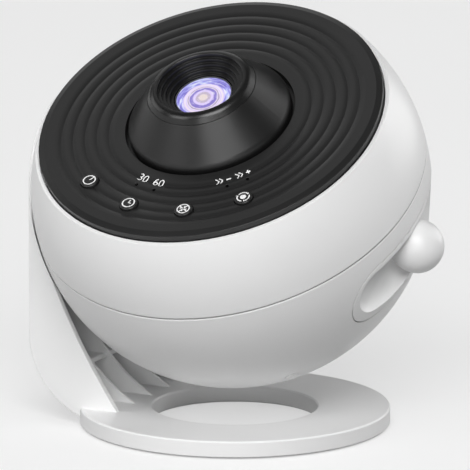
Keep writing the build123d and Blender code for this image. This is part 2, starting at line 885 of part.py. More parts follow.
guide_bore = barrel_radius + fit_gap
guide_radius = guide_bore + guide_wall
cam_bore = guide_radius + fit_gap
cam_radius = cam_bore + cam_wall
lens_back_edge = lens_front_edge - lens_edge
barrel_top = lens_front_edge + barrel_lip
nose_start = dome_collar - focus_travel - slip_gap


def lens_blank(radius, bottom, top, bottom_sag, top_sag):
    """A round lens between two edge heights, with a spherical face on each side."""
    with BuildPart() as lens:
        with BuildSketch(head_section):
            with BuildLine():
                upper = ThreePointArc((-radius, top), (0, top + top_sag), (radius, top))
                side = Line(upper @ 1, (radius, bottom))
                if bottom_sag > 0:
                    lower = ThreePointArc(side @ 1, (0, bottom - bottom_sag), (-radius, bottom))
                else:
                    lower = Line(side @ 1, (-radius, bottom))
                Line(lower @ 1, upper @ 0)
            make_face()
            with Locations((0, top)):
                Rectangle(radius, 4 * radius, align=(Align.MIN, Align.CENTER), mode=Mode.INTERSECT)
        revolve(axis=head_axis)
    return lens.part


with BuildPart() as projection_lens:
    add(lens_blank(lens_radius, lens_back_edge, lens_front_edge, lens_back_sag, lens_front_sag))
projection_lens.part.label = "projection_lens"
export_step(projection_lens.part, "parts/projection_lens.step")

rear_lens_bottom = barrel_bottom + rear_lens_sag
with BuildPart() as rear_lens:
    add(
        lens_blank(
            lens_radius, rear_lens_bottom, rear_lens_bottom + rear_lens_edge, rear_lens_sag, rear_lens_sag
        )
    )
rear_lens.part.label = "rear_lens"
export_step(rear_lens.part, "parts/rear_lens.step")

with BuildPart() as lens_barrel:
    extrude(ring_on(head.offset(barrel_bottom), barrel_radius, barrel_bore), amount=nose_start - barrel_bottom)
    extrude(ring_on(head.offset(nose_start), nose_radius, barrel_bore), amount=barrel_top - nose_start)
    for seat in (barrel_bottom, lens_back_edge - barrel_seat):
        extrude(ring_on(head.offset(seat), barrel_bore, lens_radius - barrel_seat), amount=barrel_seat)
    add(projection_lens.part, mode=Mode.SUBTRACT)
    add(rear_lens.part, mode=Mode.SUBTRACT)
    # pin that follows the cam
    with BuildSketch(head_side.offset(barrel_bore)):
        with Locations((0, cam_pin_height)):
            Circle(cam_pin_radius)
    extrude(amount=cam_radius - slip_gap - barrel_bore)
lens_barrel.part.label = "lens_barrel"
export_step(lens_barrel.part, "parts/lens_barrel.step")

with BuildPart() as barrel_guide:
    extrude(ring_on(head.offset(chassis_top), guide_radius, guide_bore), amount=guide_top - chassis_top)
    extrude(ring_on(head.offset(chassis_top), guide_flange_radius, guide_bore), amount=guide_flange_thickness)
    # straight slot that keeps the pin from turning
    with BuildSketch(head_side):
        with Locations((0, cam_pin_height)):
            slot_width = 2 * cam_pin_radius + cam_slot_gap
            SlotCenterToCenter(2 * focus_travel + cam_slot_gap, slot_width, rotation=90)
    extrude(amount=2 * guide_radius, mode=Mode.SUBTRACT)
barrel_guide.part.label = "barrel_guide"
export_step(barrel_guide.part, "parts/barrel_guide.step")

# Sleeve that turns with the ring; its sloping slot drives the pin up and down
cam_sweep = 2 * focus_swing + cam_slot_extra
cam_rise = cam_sweep * focus_travel / focus_swing
cam_middle = (cam_bore + cam_radius) / 2
slot_bottom = Vector(0, 0, cam_pin_height - cam_rise / 2)
slot_helix = Helix(360 * focus_travel / focus_swing, cam_rise, cam_middle, lefthand=True)
slot_path = head.location * Location(slot_bottom, (0, 0, cam_sweep / 2)) * slot_helix
slot_outward = ((slot_path @ 0) - head.from_local_coords(slot_bottom)).normalized()

with BuildPart() as cam_slot:
    with BuildSketch(Plane(slot_path @ 0, x_dir=slot_outward, z_dir=slot_path % 0)):
        Rectangle(3 * cam_wall, 2 * cam_pin_radius + cam_slot_gap)
    sweep(path=slot_path, is_frenet=True)

with BuildPart() as focus_cam:
    extrude(ring_on(head.offset(cam_bottom), cam_radius, cam_bore), amount=dome_collar - cam_bottom)
    extrude(
        ring_on(head.offset(dome_collar), bezel_spigot + dome_wall, cam_bore),
        amount=-cam_flange_thickness,
    )
    add(cam_slot.part, mode=Mode.SUBTRACT)
focus_cam.part.label = "focus_cam"
export_step(focus_cam.part, "parts/focus_cam.step")

# ------------------------------------------------------------------ chassis

tray_top = tray_floor + tray_thickness
collar_radius = aperture_radius + collar_wall
pinion_place = (-gear_module * (carrier_teeth + pinion_teeth) / 2, 0)
motor_top = chassis_bottom - motor_flange_thickness

with BuildPart() as chassis:
    with BuildSketch(head.offset(chassis_bottom)):
        Rectangle(2 * chassis_half_length, 2 * (tray_half_width + slip_gap + chassis_wall))
    extrude(amount=chassis_top - chassis_bottom)
    with BuildSketch(head.offset(chassis_floor)):
        with Locations((-chassis_half_length + chassis_wall, 0)):
            Rectangle(
                2 * chassis_half_length,
                2 * (tray_half_width + slip_gap),
                align=(Align.MIN, Align.CENTER),
            )
    extrude(amount=chassis_ceiling - chassis_floor, mode=Mode.SUBTRACT)
    # lugs clamped between the ball's posts
    with BuildSketch(head.offset(chassis_ceiling)):
        with GridLocations(screw_pitch_u, 0, 2, 1):
            SlotCenterToCenter(screw_pitch_v, 2 * lug_radius, rotation=90)
    extrude(amount=chassis_top_wall)
    add(at_ball_screws(screw_radius + fit_gap, chassis_ceiling, chassis_top), mode=Mode.SUBTRACT)
    # light path, and the motor's shaft
    extrude(
        ring_on(head.offset(chassis_bottom), lamp_tube_radius - lamp_tube_wall),
        amount=chassis_floor - chassis_bottom,
        mode=Mode.SUBTRACT,
    )
    extrude(
        ring_on(head.offset(chassis_ceiling), barrel_radius),
        amount=chassis_top_wall,
        mode=Mode.SUBTRACT,
    )
    with BuildSketch(head.offset(chassis_bottom)):
        with Locations(pinion_place):
            Circle(shaft_radius + loose_gap)
    extrude(amount=chassis_floor - chassis_bottom, mode=Mode.SUBTRACT)
    # spacers for the main board
    with BuildSketch(head.offset(chassis_top)):
        with GridLocations(main_board_u - 2 * spacer_inset, main_board_v - 2 * spacer_inset, 2, 2):
            Circle(spacer_radius)
    extrude(amount=main_board_gap)
chassis.part.label = "chassis"
export_step(chassis.part, "parts/chassis.step")

with BuildPart() as main_board:
    with BuildSketch(head.offset(chassis_top + main_board_gap)):
        Rectangle(main_board_u, main_board_v)
        Circle(guide_radius + loose_gap, mode=Mode.SUBTRACT)
    extrude(amount=board_thickness)
main_board.part.label = "main_board"
export_step(main_board.part, "parts/main_board.step")

# ------------------------------------------------------------------ disc tray

knob_reach = scoop_floor + knob_radius + loose_gap
tray_arm_rear = -chassis_half_length + chassis_wall + tray_end_gap


def knob_circle(radius, reach):
    """A disc in line with the knob, on a plane square to the tray's travel."""
    with BuildSketch(head_side.offset(reach)) as outline:
        with Locations((0, knob_height)):
            Circle(radius)
    return outline.sketch


with BuildPart() as scoop:
    extrude(tray_stadium(scoop_width, scoop_height, scoop_floor), amount=ball_radius)
    fillet(scoop.faces().sort_by(Axis.X)[0].edges(), scoop_fillet)

with BuildPart() as tray_front:
    extrude(tray_stadium(front_width, front_height, front_inner), amount=ball_radius)
    add(ball_blank, mode=Mode.INTERSECT)
    add(scoop.part, mode=Mode.SUBTRACT)
    extrude(knob_circle(knob_neck_radius + fit_gap, front_inner), amount=ball_radius, mode=Mode.SUBTRACT)
tray_front.part.label = "tray_front"
export_step(tray_front.part, "parts/tray_front.step")

with BuildPart() as ball_knob:
    with Locations(head.from_local_coords(Vector(knob_reach, 0, knob_height))):
        Sphere(knob_radius)
    extrude(knob_circle(knob_neck_radius, front_inner), amount=knob_reach - front_inner)
ball_knob.part.label = "ball_knob"
export_step(ball_knob.part, "parts/ball_knob.step")

with BuildPart() as disc_tray:
    with BuildSketch(head.offset(tray_floor)):
        with Locations((front_inner, 0)):
            Rectangle(front_inner - tray_rear, 2 * tray_half_width, align=(Align.MAX, Align.CENTER))
            for side in (-1, 1):
                with Locations((0, side * (tray_half_width - tray_arm_width / 2))):
                    Rectangle(front_inner - tray_arm_rear, tray_arm_width, align=(Align.MAX, Align.CENTER))
        Circle(aperture_radius, mode=Mode.SUBTRACT)
    extrude(amount=tray_thickness)
    # collar that the disc carrier turns on
    extrude(ring_on(head.offset(tray_top), collar_radius, aperture_radius), amount=collar_height)
    # upright flange behind the tray front
    with BuildSketch(head_side.offset(front_inner)):
        with Locations((0, tray_floor)):
            Rectangle(
                2 * tray_flange_half_width,
                tray_flange_top - tray_floor,
                align=(Align.CENTER, Align.MIN),
            )
    extrude(amount=-tray_flange_thickness)
disc_tray.part.label = "disc_tray"
export_step(disc_tray.part, "parts/disc_tray.step")

# ------------------------------------------------------------------ star disc and its drive


def gear_outline(teeth, centre, height, turn):
    """An involute spur gear seen along the projection axis, its first tooth turned from +X."""
    pitch = gear_module * teeth / 2
    root = pitch - tooth_dedendum
    tip = pitch + tooth_addendum
    base = pitch * cos(radians(pressure_angle))

    def half_width(radius):
        """Half a tooth's thickness at a radius, as an angle."""
        at_pitch = pi / 2 / teeth - tooth_backlash / pitch
        grown = acos(min(1, base / radius))
        pressed = radians(pressure_angle)
        return at_pitch + (tan(pressed) - pressed) - (tan(grown) - grown)

    def flank_point(radius, side):
        """A point on one flank of the tooth that points along +X."""
        angle = side * half_width(max(radius, base))
        return (radius * cos(angle), radius * sin(angle))

    start = max(root, base)
    inside = root - gear_module / 2
    with BuildSketch() as tooth:
        with BuildLine():
            left = ThreePointArc(flank_point(start, 1), flank_point(pitch, 1), flank_point(tip, 1))
            right = ThreePointArc(flank_point(tip, -1), flank_point(pitch, -1), flank_point(start, -1))
            Line(left @ 1, right @ 0)
            Polyline(right @ 1, flank_point(inside, -1), flank_point(inside, 1), left @ 0)
        make_face()
    with BuildSketch(head.offset(height)) as outline:
        with Locations(centre):
            Circle(root)
            with PolarLocations(0, teeth, start_angle=turn):
                add(tooth.sketch)
    return outline.sketch


disc_seat = tray_top + carrier_gap + carrier_height
with BuildPart() as disc_carrier:
    extrude(gear_outline(carrier_teeth, (0, 0), tray_top + carrier_gap, 0), amount=carrier_height)
    extrude(
        ring_on(head.offset(disc_seat), disc_radius + disc_rim_wall, disc_radius + fit_gap),
        amount=disc_rim_height,
    )
    extrude(
        ring_on(head.offset(tray_top), collar_radius + fit_gap),
        amount=disc_seat - tray_top,
        mode=Mode.SUBTRACT,
    )
disc_carrier.part.label = "disc_carrier"
export_step(disc_carrier.part, "parts/disc_carrier.step")

with BuildPart() as star_disc:
    extrude(ring_on(head.offset(disc_seat), disc_radius), amount=disc_thickness)
star_disc.part.label = "star_disc"
export_step(star_disc.part, "parts/star_disc.step")

pinion_bottom = tray_top + carrier_gap + (carrier_height - pinion_height) / 2
with BuildPart() as drive_pinion:
    half_tooth = 180 / pinion_teeth
    extrude(gear_outline(pinion_teeth, pinion_place, pinion_bottom, half_tooth), amount=pinion_height)
    with BuildSketch(head.offset(pinion_bottom)):
        with Locations(pinion_place):
            Circle(shaft_radius)
    extrude(amount=pinion_height, mode=Mode.SUBTRACT)
drive_pinion.part.label = "drive_pinion"
export_step(drive_pinion.part, "parts/drive_pinion.step")


def at_motor(shape, height):
    """A shape round the motor's shaft, at a height inside the head."""
    with BuildSketch(head.offset(height)) as outline:
        with Locations(pinion_place):
            shape()
    return outline.sketch


with BuildPart() as motor_shaft:
    shaft_bottom = motor_top - motor_length + motor_flange_thickness
    shaft_length = pinion_bottom + pinion_height - shaft_bottom
    extrude(at_motor(lambda: Circle(shaft_radius), shaft_bottom), amount=shaft_length)
motor_shaft.part.label = "motor_shaft"
export_step(motor_shaft.part, "parts/motor_shaft.step")

with BuildPart() as drive_motor:
    extrude(at_motor(lambda: Circle(motor_radius), motor_top), amount=-motor_length)
    flange = at_motor(lambda: SlotOverall(motor_flange_length, motor_flange_width, rotation=90), motor_top)
    extrude(flange, amount=motor_flange_thickness)
    extrude(
        at_motor(lambda: Circle(shaft_radius + fit_gap), shaft_bottom),
        amount=chassis_bottom - shaft_bottom,
        mode=Mode.SUBTRACT,
    )
drive_motor.part.label = "drive_motor"
export_step(drive_motor.part, "parts/drive_motor.step")

# ------------------------------------------------------------------ lamp

tube_bore = lamp_tube_radius - lamp_tube_wall
tube_bottom = chassis_bottom - lamp_tube_length
condenser_base = chassis_bottom - condenser_drop

with BuildPart() as lamp_tube:
    extrude(ring_on(head.offset(tube_bottom), lamp_tube_radius, tube_bore), amount=lamp_tube_length)
    extrude(
        ring_on(head.offset(condenser_base), tube_bore, tube_bore - lamp_tube_wall),
        amount=-lamp_tube_wall,
    )
    with BuildSketch(head.offset(chassis_bottom)):
        SlotOverall(lamp_ear_span, lamp_ear_width, rotation=90)
        Circle(tube_bore, mode=Mode.SUBTRACT)
    extrude(amount=-lamp_ear_thickness)
lamp_tube.part.label = "lamp_tube"
export_step(lamp_tube.part, "parts/lamp_tube.step")

with BuildPart() as condenser_lens:
    add(lens_blank(tube_bore - fit_gap, condenser_base, condenser_base + condenser_edge, 0, condenser_sag))
condenser_lens.part.label = "condenser_lens"
export_step(condenser_lens.part, "parts/condenser_lens.step")

with BuildPart() as led_board:
    extrude(ring_on(head.offset(tube_bottom), tube_bore - fit_gap), amount=board_thickness)
led_board.part.label = "led_board"
export_step(led_board.part, "parts/led_board.step")

with BuildPart() as led_chip:
    with BuildSketch(head.offset(tube_bottom + board_thickness)):
        Rectangle(led_size, led_size)
    extrude(amount=led_height)
led_chip.part.label = "led_chip"
export_step(led_chip.part, "parts/led_chip.step")

with BuildPart() as heat_sink:
    extrude(ring_on(head.offset(tube_bottom - sink_base), sink_radius), amount=sink_base)
    with BuildSketch(head.offset(tube_bottom - sink_base)):
        with GridLocations(2 * sink_radius / fin_count, 0, fin_count, 1):
            Rectangle(fin_thickness, 2 * sink_radius)
        Circle(sink_radius, mode=Mode.INTERSECT)
    extrude(amount=-sink_depth)
    add(truncated_ball(ball_radius - shell_wall - sink_shell_gap, flat_offset), mode=Mode.INTERSECT)
heat_sink.part.label = "heat_sink"
export_step(heat_sink.part, "parts/heat_sink.step")

# ------------------------------------------------------------------ power inlet

with BuildPart() as usb_inlet:
    extrude(
        inlet_outline(inlet_width - 2 * fit_gap, inlet_thickness - 2 * fit_gap, inlet_face),
        amount=-inlet_length,
    )
    extrude(
        inlet_outline(inlet_width - 2 * inlet_wall, inlet_thickness - 2 * inlet_wall, inlet_face),
        amount=-inlet_length + inlet_wall,
        mode=Mode.SUBTRACT,
    )
    with BuildSketch(head_rear.offset(inlet_face - inlet_length)):
        with Locations((0, inlet_height)):
            Rectangle(inlet_tongue_width, inlet_tongue_thickness)
    extrude(amount=inlet_length - inlet_tongue_sink)
usb_inlet.part.label = "usb_inlet"
export_step(usb_inlet.part, "parts/usb_inlet.step")
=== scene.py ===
import json
import math

import bmesh
import bpy
from mathutils import Matrix, Vector
from mathutils.bvhtree import BVHTree


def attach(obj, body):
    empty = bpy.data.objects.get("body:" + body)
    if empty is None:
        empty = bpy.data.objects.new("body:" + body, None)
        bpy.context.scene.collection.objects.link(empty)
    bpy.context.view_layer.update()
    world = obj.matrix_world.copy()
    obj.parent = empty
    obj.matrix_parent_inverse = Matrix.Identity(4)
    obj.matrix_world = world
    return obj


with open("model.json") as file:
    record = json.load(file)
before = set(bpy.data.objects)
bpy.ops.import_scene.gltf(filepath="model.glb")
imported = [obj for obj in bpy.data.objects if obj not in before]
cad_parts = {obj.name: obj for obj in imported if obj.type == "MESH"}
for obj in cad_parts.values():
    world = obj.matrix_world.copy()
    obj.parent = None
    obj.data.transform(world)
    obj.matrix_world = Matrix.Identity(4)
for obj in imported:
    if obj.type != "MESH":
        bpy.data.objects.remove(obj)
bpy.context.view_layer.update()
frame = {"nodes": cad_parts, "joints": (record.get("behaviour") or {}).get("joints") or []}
nodes = frame["nodes"]
joints = {joint["name"]: joint for joint in frame["joints"]}
scene = bpy.context.scene
MM = 0.001

# ------------------------------------------------------------------ places taken from the frame

ball_centre = Vector(joints["body_tilt"]["pos_m"])
head_up = Vector(joints["focus_turn"]["axis"]).normalized()
head_right = Vector((1, 0, 0))
head_back = head_up.cross(head_right)
tilt = math.atan2(-head_up.y, head_up.z)
head_matrix = Matrix.Translation(ball_centre) @ Matrix(
    (
        (head_right.x, head_back.x, head_up.x, 0),
        (head_right.y, head_back.y, head_up.y, 0),
        (head_right.z, head_back.z, head_up.z, 0),
        (0, 0, 0, 1),
    )
)


def in_head(point):
    """A point of the row frame in the head's axes: right, back, and up along the lens's axis."""
    return head_matrix.inverted() @ point


def points_of(node):
    """A node's points in the head's axes, in metres."""
    return [in_head(v.co) for v in nodes[node].data.vertices]


def top_of(node):
    """Height of a node's highest point along the head's axis."""
    return max(p.z for p in points_of(node))


def centre_of(node):
    """Middle of a node in the head's axes."""
    points = points_of(node)
    low = [min(p[i] for p in points) for i in range(3)]
    high = [max(p[i] for p in points) for i in range(3)]
    return Vector([(a + b) / 2 for a, b in zip(low, high)])


seam_height = top_of("lower_shell")
panel_top = top_of("top_panel")
lens_radius = max(math.hypot(p.x, p.y) for p in points_of("projection_lens"))

# ------------------------------------------------------------------ camera

camera_place = Vector((1.7972, -3.5736, 0.9762))
camera_heading = Vector((-0.4493, 0.8934, 0))
camera_pitch = math.radians(12.80)
sensor = 36.0
focal_pixels = 11744.0
frame_pixels = 470.0
sight_end = 100.0

camera_data = bpy.data.cameras.new("camera")
camera_data.sensor_width = sensor
camera_data.sensor_height = sensor
camera_data.sensor_fit = "HORIZONTAL"
camera_data.lens = focal_pixels / frame_pixels * sensor
camera_data.clip_end = sight_end
camera = bpy.data.objects.new("camera", camera_data)
scene.collection.objects.link(camera)
look = camera_heading.normalized() * math.cos(camera_pitch) - Vector((0, 0, math.sin(camera_pitch)))
camera.location = camera_place
camera.rotation_euler = look.to_track_quat("-Z", "Y").to_euler()
scene.camera = camera
scene.view_settings.view_transform = "Standard"

# ------------------------------------------------------------------ short ways to build node trees


class Nodes:
    """A node tree. Where a method takes a value, it is a socket to link or a constant to set."""

    MIX_FIRST, MIX_SECOND, MIX_RESULT = 6, 7, 2  # a Mix node's sockets for colours

    def __init__(self, tree):
        self.tree = tree

    def add(self, kind, **settings):
        node = self.tree.nodes.new(kind)
        for key, value in settings.items():
            setattr(node, key, value)
        return node

    def link(self, source, target):
        self.tree.links.new(source, target)

    def give(self, value, target):
        if isinstance(value, bpy.types.NodeSocket):
            self.link(value, target)
        else:
            target.default_value = value

    def math(self, operation, *values):
        node = self.add("ShaderNodeMath", operation=operation)
        for value, target in zip(values, node.inputs):
            self.give(value, target)
        return node.outputs["Value"]

    def vector_math(self, operation, *values):
        node = self.add("ShaderNodeVectorMath", operation=operation)
        for value, target in zip(values, node.inputs):
            self.give(value, target)
        return node.outputs["Value" if operation == "LENGTH" else "Vector"]

    def height_of(self, vector):
        """The Z of a vector."""
        axes = self.add("ShaderNodeSeparateXYZ")
        self.link(vector, axes.inputs["Vector"])
        return axes.outputs["Z"]

    def between(self, value, source, target=(0.0, 1.0), easing="LINEAR"):
        """Maps the source's two ends onto the target's, and holds what lies beyond."""
        node = self.add("ShaderNodeMapRange", interpolation_type=easing)
        ends = zip(("From Min", "From Max", "To Min", "To Max"), (*source, *target))
        for name, end in ends:
            node.inputs[name].default_value = end
        self.link(value, node.inputs["Value"])
        return node.outputs["Result"]

    def ramp(self, factor, stops):
        """Colours along a factor, from stops of (place, colour)."""
        node = self.add("ShaderNodeValToRGB")
        elements = node.color_ramp.elements
        while len(elements) < len(stops):
            elements.new(0.5)
        for element, (place, colour) in zip(elements, stops):
            element.position = place
            element.color = (*colour, 1)
        self.link(factor, node.inputs["Fac"])
        return node.outputs["Color"]

    def mix(self, factor, first, second, blend="MIX"):
        """Two colours, mixed."""
        node = self.add("ShaderNodeMix", data_type="RGBA", blend_type=blend)
        self.give(factor, node.inputs["Factor"])
        self.give(first, node.inputs[self.MIX_FIRST])
        self.give(second, node.inputs[self.MIX_SECOND])
        return node.outputs[self.MIX_RESULT]

    def seen_directly(self):
        """1 for camera, mirror and see-through rays, 0 for the light that falls on things."""
        paths = self.add("ShaderNodeLightPath").outputs
        seen = paths["Is Camera Ray"]
        for kind in ("Is Glossy Ray", "Is Transmission Ray"):
            seen = self.math("MAXIMUM", seen, paths[kind])
        return seen


class Shader(Nodes):
    """A node material with a Principled shader."""

    NOISE_MIDDLE = (0.3, 0.7)  # the range that most of a noise's values lie in
    BEVEL_SAMPLES = 6

    def __init__(self, name):
        self.material = bpy.data.materials.new(name)
        self.material.use_nodes = True
        super().__init__(self.material.node_tree)
        self.bsdf = next(n for n in self.tree.nodes if n.type == "BSDF_PRINCIPLED")

    def set(self, **values):
        """Sets sockets of the Principled shader, or links them, by their names."""
        for key, value in values.items():
            self.give(value, self.bsdf.inputs[key.replace("_", " ")])

    def coords(self):
        """The row frame's coordinates, which stay with the piece as it moves."""
        return self.add("ShaderNodeTexCoord").outputs["Object"]

    def head_coords(self):
        """Coordinates in the head's own axes."""
        mapping = self.add("ShaderNodeMapping", vector_type="TEXTURE")
        mapping.inputs["Location"].default_value = ball_centre
        mapping.inputs["Rotation"].default_value = (tilt, 0, 0)
        self.link(self.coords(), mapping.inputs["Vector"])
        return mapping.outputs["Vector"]

    def noise(self, scale, detail=2.0, vector=None):
        node = self.add("ShaderNodeTexNoise")
        node.inputs["Scale"].default_value = scale
        node.inputs["Detail"].default_value = detail
        self.link(vector or self.coords(), node.inputs["Vector"])
        return node.outputs["Fac"]

    def bump(self, height, depth, strength, edge=0.0):
        """Surface grain, over edges that catch the light as if slightly rounded."""
        node = self.add("ShaderNodeBump")
        node.inputs["Strength"].default_value = strength
        node.inputs["Distance"].default_value = depth
        self.link(height, node.inputs["Height"])
        if edge:
            bevel = self.add("ShaderNodeBevel", samples=self.BEVEL_SAMPLES)
            bevel.inputs["Radius"].default_value = edge
            self.link(bevel.outputs["Normal"], node.inputs["Normal"])
        self.link(node.outputs["Normal"], self.bsdf.inputs["Normal"])


def grey(level):
    return (level, level, level)


def times(values, share):
    return [value * share for value in values]


# ------------------------------------------------------------------ plastics and metals

cloud_scale = 18  # of the faint unevenness
cloud_range = (0.35, 0.65)
gloss_spread = (0.92, 1.08)  # ends of the roughness, as shares of the one that is named
coat_roughness = 0.12
grain_strength = 0.6

mark_scale = 3
mark_shade = 0.8  # darkest tint of bare metal, as a share of its colour
mark_spread = (0.8, 1.3)
mark_depth = 0.01 * MM
mark_strength = 0.4

seam_reach = 0.5 * MM  # half the width of the seam's groove
# painted shade across the seam's groove, as a tint of the colour
SEAM_SHADE = [(0.3, grey(0.36)), (0.6, grey(0.72)), (1.0, grey(1.0))]  # from its bottom to its rim


def moulded(
    name,
    colour,
    roughness,
    grain=2500,
    depth=0.02 * MM,
    shade=0.03,
    edge=0.4 * MM,
    coat=0.0,
    seam=False,
):
    """Moulded plastic: a fine grain, and a faint unevenness of colour and gloss.

    seam adds painted shade: the colour darkens towards the middle of the groove between the ball's
    two shells.
    """
    shader = Shader(name)
    cloud = shader.noise(cloud_scale, 3)
    tint = shader.ramp(cloud, list(zip(cloud_range, (times(colour, 1 - shade), colour))))
    # painted shade, darkest in the middle of the seam's groove
    if seam:
        off_seam = shader.math("SUBTRACT", shader.height_of(shader.head_coords()), seam_height)
        across = shader.math("DIVIDE", shader.math("ABSOLUTE", off_seam), seam_reach)
        tint = shader.mix(1.0, tint, shader.ramp(across, SEAM_SHADE), "MULTIPLY")
    gloss = shader.between(cloud, shader.NOISE_MIDDLE, times(gloss_spread, roughness))
    shader.set(Base_Color=tint, Roughness=gloss, Coat_Weight=coat, Coat_Roughness=coat_roughness)
    shader.bump(shader.noise(grain), depth, grain_strength, edge)
    return shader


def metal(name, colour, roughness, brushed=(60, 60, 1200)):
    """Bare metal with fine marks along one direction."""
    shader = Shader(name)
    mapping = shader.add("ShaderNodeMapping")
    mapping.inputs["Scale"].default_value = brushed
    shader.link(shader.coords(), mapping.inputs["Vector"])
    marks = shader.noise(mark_scale, 4, mapping.outputs["Vector"])
    tint = shader.ramp(marks, list(zip(shader.NOISE_MIDDLE, (times(colour, mark_shade), colour))))
    gloss = shader.between(marks, shader.NOISE_MIDDLE, times(mark_spread, roughness))
    shader.set(Base_Color=tint, Roughness=gloss, Metallic=1.0)
    shader.bump(marks, mark_depth, mark_strength)
    return shader


outer_white = {"grain": 3200, "depth": 0.012 * MM, "shade": 0.02, "coat": 0.05}
white = moulded("white_plastic", grey(0.82), 0.36, **outer_white)
white_shell = moulded("white_shell", grey(0.82), 0.36, seam=True, **outer_white)
inner_grey = moulded("grey_plastic", (0.06, 0.062, 0.066), 0.5, grain=1800, depth=0.03 * MM)
silicone = moulded("clear_silicone", (0.62, 0.63, 0.64), 0.45, grain=900, depth=0.03 * MM)
print_white = moulded("white_print", grey(0.86), 0.55, edge=0)
board_green = moulded(
    "circuit_board", (0.012, 0.13, 0.05), 0.35, grain=700, depth=0.04 * MM, shade=0.25
)
steel = metal("steel", (0.56, 0.57, 0.58), 0.3)
aluminium = metal("aluminium", (0.78, 0.79, 0.8), 0.35)
brass = metal("brass", (0.75, 0.56, 0.26), 0.28)
panel = moulded(
    "black_panel", grey(0.015), 0.32, grain=2600, depth=0.03 * MM, shade=0.15, edge=0.3 * MM
)
dome = moulded("black_dome", grey(0.007), 0.36, grain=4200, depth=0.01 * MM, shade=0.2)
bezel = moulded(
    "black_bezel", grey(0.009), 0.27, grain=4200, depth=0.01 * MM, shade=0.2, edge=0.3 * MM
)
pipes = moulded("light_pipe", grey(0.001), 0.30, shade=0.3, edge=0)
pipes.set(Specular_IOR_Level=0.05)

# ------------------------------------------------------------------ lenses, film and lamp

light_spot = (1.0 * MM, -1.9 * MM, 0)  # middle of the light's rings, off the lens's axis
ring_reach = 1.3  # where the ramp of rings ends, as a share of the lens's radius
ring_waver = 0.05  # how far the rings waver, as a share of the ramp
ring_edge = (0.73, 0.80)  # where the rings give way to the ground
waver_scale = 420
streak_scale = 1.4
streaks_round = 1.6  # how often the streaks change round the spot
streaks_outwards = 16  # and outwards from it
ground_scale = 150
glint_range = (0.52, 0.68)  # of the streaks
glint_share = 0.6
light_strength = 0.95
star_scale = 900
star_reach = 0.07  # a star's radius, as a share of the stars' spacing

CREAM = (0.84, 0.72, 0.62)
HAZE = (0.56, 0.47, 0.56)
LILAC = (0.76, 0.64, 0.96)
VIOLET = (0.27, 0.21, 0.60)
BRIGHT = (0.93, 0.82, 0.90)
DUSK = (0.42, 0.35, 0.52)
GLINT = (0.88, 0.84, 0.97)
RINGS = [  # each from one share of the lens's radius to another, blended in between
    (0.0, 0.13, CREAM),
    (0.19, 0.25, HAZE),
    (0.30, 0.36, LILAC),
    (0.40, 0.50, VIOLET),
    (0.53, 0.53, BRIGHT),
    (0.555, 0.575, DUSK),
    (0.60, 0.60, BRIGHT),
    (0.63, 0.65, LILAC),
    (0.67, 0.70, BRIGHT),
    (0.74, 1.0, LILAC),
]
GROUND = [
    (0.40, (0.22, 0.19, 0.60)),
    (0.48, (0.33, 0.30, 0.82)),
    (0.54, (0.52, 0.56, 0.98)),
    (0.60, (0.86, 0.90, 1.0)),
]


def on_ramp(radius):
    """Where a radius, as a share of the lens's, lies on the ramp of rings."""
    return radius / ring_reach + ring_waver / 2


def lit_lens():
    """The lamp's light in the front lens: pale rings round a warm spot, over a streaked ground."""
    shader = Shader("lit_lens")
    from_spot = shader.vector_math("SUBTRACT", shader.head_coords(), light_spot)
    flat = shader.vector_math("MULTIPLY", from_spot, (1, 1, 0))
    outwards = shader.math("DIVIDE", shader.vector_math("LENGTH", flat), lens_radius * ring_reach)
    wavering = shader.math("MULTIPLY_ADD", shader.noise(waver_scale, 4), ring_waver, outwards)

    # noise that changes quickly outwards and slowly round the spot
    heading = shader.vector_math("NORMALIZE", flat)
    depth = shader.add("ShaderNodeCombineXYZ")
    shader.link(shader.math("MULTIPLY", outwards, streaks_outwards), depth.inputs["Z"])
    spread = (streaks_round, streaks_round, 0)
    place = shader.vector_math("MULTIPLY_ADD", heading, spread, depth.outputs["Vector"])
    streaks = shader.noise(streak_scale, 4, place)

    stops = [(on_ramp(radius), colour) for *ends, colour in RINGS for radius in dict.fromkeys(ends)]
    ringed = shader.ramp(wavering, stops)
    both = shader.math("ADD", shader.noise(ground_scale, 3), streaks)
    ground = shader.ramp(shader.math("MULTIPLY", both, 0.5), GROUND)
    rings_end = [on_ramp(radius) for radius in ring_edge]
    past_rings = shader.between(wavering, rings_end, easing="SMOOTHSTEP")
    glints = shader.between(streaks, glint_range, (0.0, glint_share), easing="SMOOTHSTEP")
    light = shader.mix(glints, shader.mix(past_rings, ringed, ground), (*GLINT, 1))
    shader.set(Emission_Color=light, Emission_Strength=light_strength)
    shader.set(Base_Color=(0.03, 0.03, 0.08, 1), Roughness=0.08, Coat_Weight=0.5)
    return shader


def star_film():
    """Dark film with a scatter of clear points."""
    shader = Shader("star_film")
    cells = shader.add("ShaderNodeTexVoronoi")
    cells.inputs["Scale"].default_value = star_scale
    shader.link(shader.coords(), cells.inputs["Vector"])
    clear, dark = (0.8, 0.82, 0.9), (0.01, 0.012, 0.03)
    dots = shader.ramp(cells.outputs["Distance"], [(0.0, clear), (star_reach, dark)])
    shader.set(Base_Color=dots, Roughness=0.18)
    return shader


def clear_glass():
    """Coated lens glass."""
    shader = Shader("lens_glass")
    shader.set(Base_Color=(0.93, 0.94, 1.0, 1), Roughness=0.02, IOR=1.52, Transmission_Weight=0.9)
    shader.bump(shader.noise(60), 0.002 * MM, 0.2)
    return shader


def led_phosphor():
    """The lamp's yellow face."""
    shader = Shader("led_phosphor")
    tint = shader.ramp(shader.noise(2400), [(0.3, (0.8, 0.62, 0.08)), (0.7, (0.95, 0.8, 0.2))])
    shader.set(Base_Color=tint, Roughness=0.6)
    return shader


# ------------------------------------------------------------------ what each node is made of

